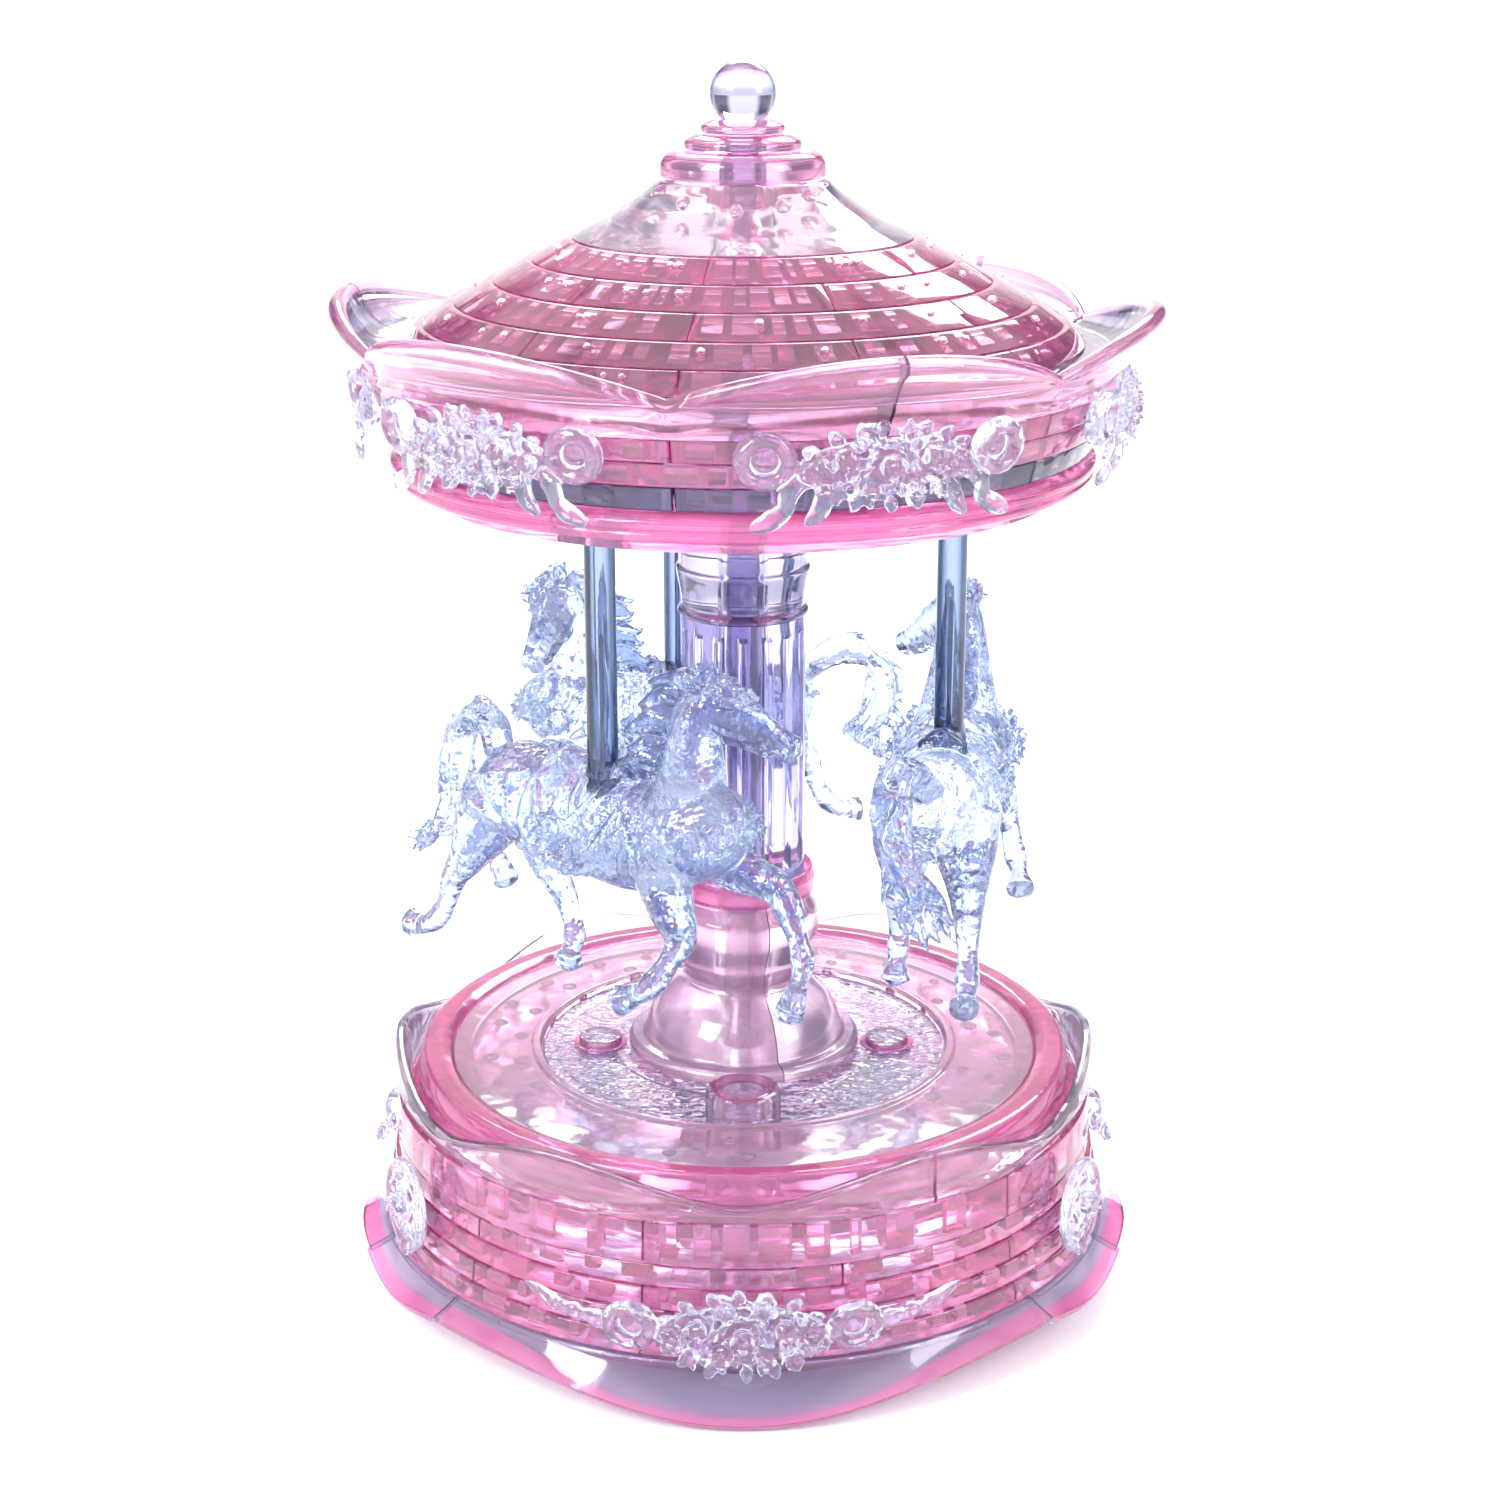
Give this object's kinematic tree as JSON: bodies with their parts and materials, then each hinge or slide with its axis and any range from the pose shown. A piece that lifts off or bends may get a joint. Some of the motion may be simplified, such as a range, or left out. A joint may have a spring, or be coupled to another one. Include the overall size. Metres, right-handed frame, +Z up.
{
  "type": "carousel music box",
  "caption": "Wind-up musical carousel built from clear and pink interlocking blocks: a turning canopy carries prancing horses on poles above a round base.",
  "frame": {"origin": "centre of the base on the surface it stands on", "axes": "+Z up along the turning axis, -Y towards the front, where the button is, +X to the right"},
  "size_m": [0.133, 0.133, 0.2],
  "materials": {
    "pink_block": "polished translucent pink",
    "hot_pink": "polished translucent deep pink",
    "clear_pink": "polished clear with a pink tint",
    "clear_crystal": "polished clear, faintly blue",
    "clear_skirt": "polished clear, lilac",
    "movement_plate": "nickel plated",
    "movement_steel": "bright",
    "rubber": "soft, pale translucent"
  },
  "bodies": {
    "base": {"rubber_feet": "rubber", "bottom_cover": "pink_block", "skirt_lobe_1": "clear_skirt", "skirt_lobe_2": "clear_skirt", "skirt_lobe_3": "clear_skirt", "skirt_links": "clear_skirt", "drum_layer_1": "pink_block", "drum_layer_2": "hot_pink", "drum_layer_3": "pink_block", "drum_layer_4": "hot_pink", "drum_layer_5": "pink_block", "crown_segment_1": "pink_block", "crown_segment_2": "pink_block", "crown_segment_3": "pink_block", "deck_rim": "hot_pink", "deck_plate": "pink_block", "deck_disc": "clear_crystal", "deck_posts": "pink_block", "base_garlands": "clear_crystal", "medallions": "clear_crystal", "bedplate": "movement_plate", "music_comb": "movement_steel", "screws": "movement_steel"},
    "carousel": {"spring_barrel": "movement_plate", "mainspring": "movement_steel", "drive_spindle": "movement_steel", "centre_rod": "clear_crystal", "column_foot": "pink_block", "column_shaft": "clear_pink", "collar_ring": "hot_pink", "column_capital": "pink_block", "canopy_plate": "pink_block", "rim_ring": "hot_pink", "frieze_layer_1": "pink_block", "frieze_layer_2": "hot_pink", "frieze_layer_3": "pink_block", "eave_segment_1": "pink_block", "eave_segment_2": "pink_block", "eave_segment_3": "pink_block", "roof_garlands": "clear_crystal", "roof_layer_1": "pink_block", "roof_layer_2": "hot_pink", "roof_layer_3": "pink_block", "roof_layer_4": "hot_pink", "roof_layer_5": "pink_block", "roof_peak": "clear_crystal", "cap_tiers": "pink_block", "finial": "clear_crystal", "pole_1": "clear_crystal", "pole_2": "clear_crystal", "pole_3": "clear_crystal", "horse_1": "clear_crystal", "horse_2": "clear_crystal", "horse_3": "clear_crystal"},
    "key": {"winding_key": "movement_steel", "winding_arbor": "movement_steel"},
    "cylinder": {"music_cylinder": "movement_plate"},
    "governor": {"governor_fan": "movement_steel"},
    "button": {"stop_button": "hot_pink", "brake_arm": "movement_steel"}
  },
  "joints": [
    {"name": "carousel_spin", "type": "hinge", "parent": "base", "child": "carousel", "pos_m": [0, 0, 0.0368], "axis": [0, 0, 1], "continuous": true},
    {"name": "key_wind", "type": "hinge", "parent": "base", "child": "key", "pos_m": [0, 0, 0.008], "axis": [0, 0, -1], "continuous": true},
    {"name": "cylinder_spin", "type": "hinge", "parent": "base", "child": "cylinder", "pos_m": [0, 0, 0.0255], "axis": [0, 1, 0], "continuous": true},
    {"name": "governor_spin", "type": "hinge", "parent": "base", "child": "governor", "pos_m": [-0.00855, 0, 0.0255], "axis": [0, 1, 0], "continuous": true},
    {"name": "button_press", "type": "slide", "parent": "base", "child": "button", "axis": [0, 0, 1], "range_m": [-0.001, 0], "stiffness_N_per_m": 300, "springref_m": 0.0005}
  ],
  "couplings": [
    {"joint": "cylinder_spin", "follows": "carousel_spin", "ratio": 4},
    {"joint": "governor_spin", "follows": "carousel_spin", "ratio": -24}
  ]
}
